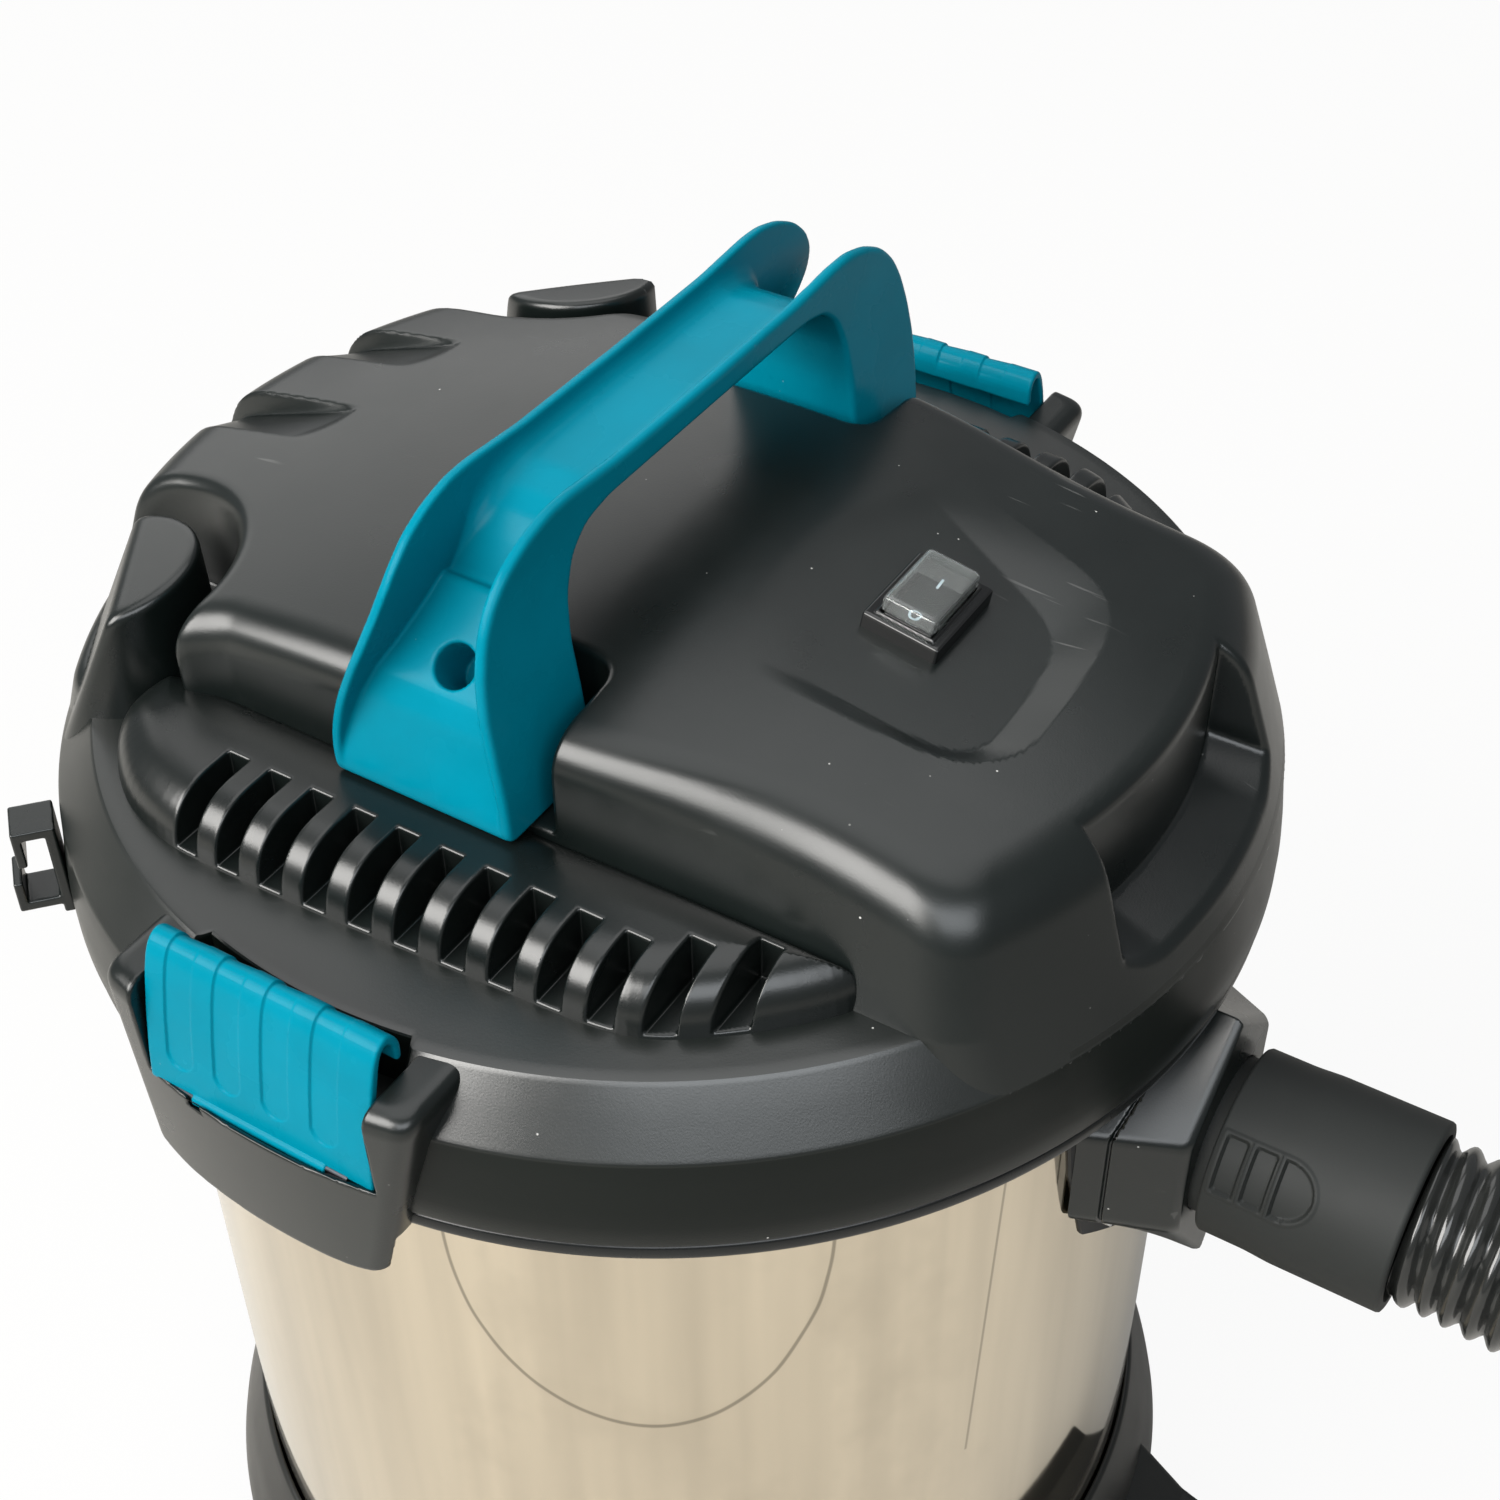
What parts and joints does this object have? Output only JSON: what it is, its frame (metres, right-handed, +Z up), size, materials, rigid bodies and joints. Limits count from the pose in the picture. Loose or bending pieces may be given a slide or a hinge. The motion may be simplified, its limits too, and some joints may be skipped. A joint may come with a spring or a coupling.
{
  "type": "shop vacuum",
  "caption": "Wet and dry shop vacuum: steel drum on a castered base, latched lift-off motor head with carrying handle, ribbed suction hose.",
  "frame": {"origin": "on the floor, on the drum's vertical axis", "axes": "+Z up, -Y towards the hose inlet and the switch, X along the carrying handle, latches at -X and +X"},
  "size_m": [0.683, 1.09, 0.467],
  "materials": {
    "mirror_steel": "mirror polished stainless",
    "black_plastic": "fine textured satin",
    "teal_plastic": "satin gloss",
    "cuff_plastic": "soft satin",
    "hose_plastic": "gloss",
    "seal_rubber": "matte",
    "screw_steel": "zinc plated",
    "plated_steel": "zinc plated sheet",
    "core_steel": "lacquered laminations and windings",
    "brass": "plain",
    "aluminium": "pressed sheet",
    "switch_black": "gloss",
    "clear_cover": "clear soft plastic",
    "foam": "open foam",
    "float_plastic": "plain",
    "wheel_plastic": "satin"
  },
  "bodies": {
    "tank": {"drum": "mirror_steel", "drum_rim": "black_plastic", "base_skirt": "black_plastic", "inlet_block": "black_plastic", "inlet_gasket": "seal_rubber", "inlet_spout": "black_plastic", "inlet_screws": "screw_steel", "hose_cuff": "cuff_plastic", "hose": "hose_plastic", "hose_grip": "cuff_plastic"},
    "head": {"head_cover": "black_plastic", "head_deck": "black_plastic", "head_seal": "seal_rubber", "head_screws": "screw_steel", "vent_foam": "foam", "latch_pin_left": "screw_steel", "latch_pin_right": "screw_steel", "handle": "teal_plastic", "handle_screws": "screw_steel", "switch_body": "switch_black", "switch_cover": "clear_cover", "fan_housing": "plated_steel", "motor_frame": "black_plastic", "stator": "core_steel", "brush_holders": "brass", "bearing_top": "screw_steel", "bearing_bottom": "screw_steel", "motor_gasket": "seal_rubber", "float_cage": "black_plastic", "filter": "foam", "filter_clamp": "plated_steel", "cord_clip": "black_plastic", "cord_gland": "seal_rubber"},
    "left_latch": {"latch_lever_left": "teal_plastic"},
    "right_latch": {"latch_lever_right": "teal_plastic"},
    "rocker": {"switch_rocker": "switch_black"},
    "rotor": {"motor_shaft": "screw_steel", "armature": "core_steel", "impeller": "aluminium"},
    "float": {"float_ball": "float_plastic"},
    "caster_1": {"caster_fork_1": "black_plastic", "caster_axle_1": "screw_steel"},
    "caster_2": {"caster_fork_2": "black_plastic", "caster_axle_2": "screw_steel"},
    "caster_3": {"caster_fork_3": "black_plastic", "caster_axle_3": "screw_steel"},
    "caster_4": {"caster_fork_4": "black_plastic", "caster_axle_4": "screw_steel"},
    "wheel_1": {"caster_wheel_1": "wheel_plastic"},
    "wheel_2": {"caster_wheel_2": "wheel_plastic"},
    "wheel_3": {"caster_wheel_3": "wheel_plastic"},
    "wheel_4": {"caster_wheel_4": "wheel_plastic"}
  },
  "joints": [
    {"name": "head_lift", "type": "slide", "parent": "tank", "child": "head", "axis": [0, 0, 1], "range_m": [0, 0.3]},
    {"name": "left_latch_open", "type": "hinge", "parent": "head", "child": "left_latch", "pos_m": [-0.1699, 0.004, 0.3454], "axis": [0, -1, 0], "range_deg": [0, 50]},
    {"name": "right_latch_open", "type": "hinge", "parent": "head", "child": "right_latch", "pos_m": [0.1699, 0.004, 0.3454], "axis": [0, 1, 0], "range_deg": [0, 50]},
    {"name": "switch_rock", "type": "hinge", "parent": "head", "child": "rocker", "pos_m": [0, -0.07661, 0.42139], "axis": [0, 0.9848, 0.1736], "range_deg": [0, 16]},
    {"name": "rotor_spin", "type": "hinge", "parent": "head", "child": "rotor", "pos_m": [0, 0, 0.33], "axis": [0, 0, 1], "continuous": true},
    {"name": "float_rise", "type": "slide", "parent": "head", "child": "float", "axis": [0, 0, 1], "range_m": [0, 0.016]},
    {"name": "caster_1_swivel", "type": "hinge", "parent": "tank", "child": "caster_1", "pos_m": [0, -0.168, 0.04], "axis": [0, 0, 1], "continuous": true},
    {"name": "caster_2_swivel", "type": "hinge", "parent": "tank", "child": "caster_2", "pos_m": [0.168, 0, 0.04], "axis": [0, 0, 1], "continuous": true},
    {"name": "caster_3_swivel", "type": "hinge", "parent": "tank", "child": "caster_3", "pos_m": [0, 0.168, 0.04], "axis": [0, 0, 1], "continuous": true},
    {"name": "caster_4_swivel", "type": "hinge", "parent": "tank", "child": "caster_4", "pos_m": [-0.168, 0, 0.04], "axis": [0, 0, 1], "continuous": true},
    {"name": "wheel_1_spin", "type": "hinge", "parent": "caster_1", "child": "wheel_1", "pos_m": [0, -0.158, 0.016], "axis": [1, 0, 0], "continuous": true},
    {"name": "wheel_2_spin", "type": "hinge", "parent": "caster_2", "child": "wheel_2", "pos_m": [0.168, 0.01, 0.016], "axis": [1, 0, 0], "continuous": true},
    {"name": "wheel_3_spin", "type": "hinge", "parent": "caster_3", "child": "wheel_3", "pos_m": [0, 0.178, 0.016], "axis": [1, 0, 0], "continuous": true},
    {"name": "wheel_4_spin", "type": "hinge", "parent": "caster_4", "child": "wheel_4", "pos_m": [-0.168, 0.01, 0.016], "axis": [1, 0, 0], "continuous": true}
  ]
}
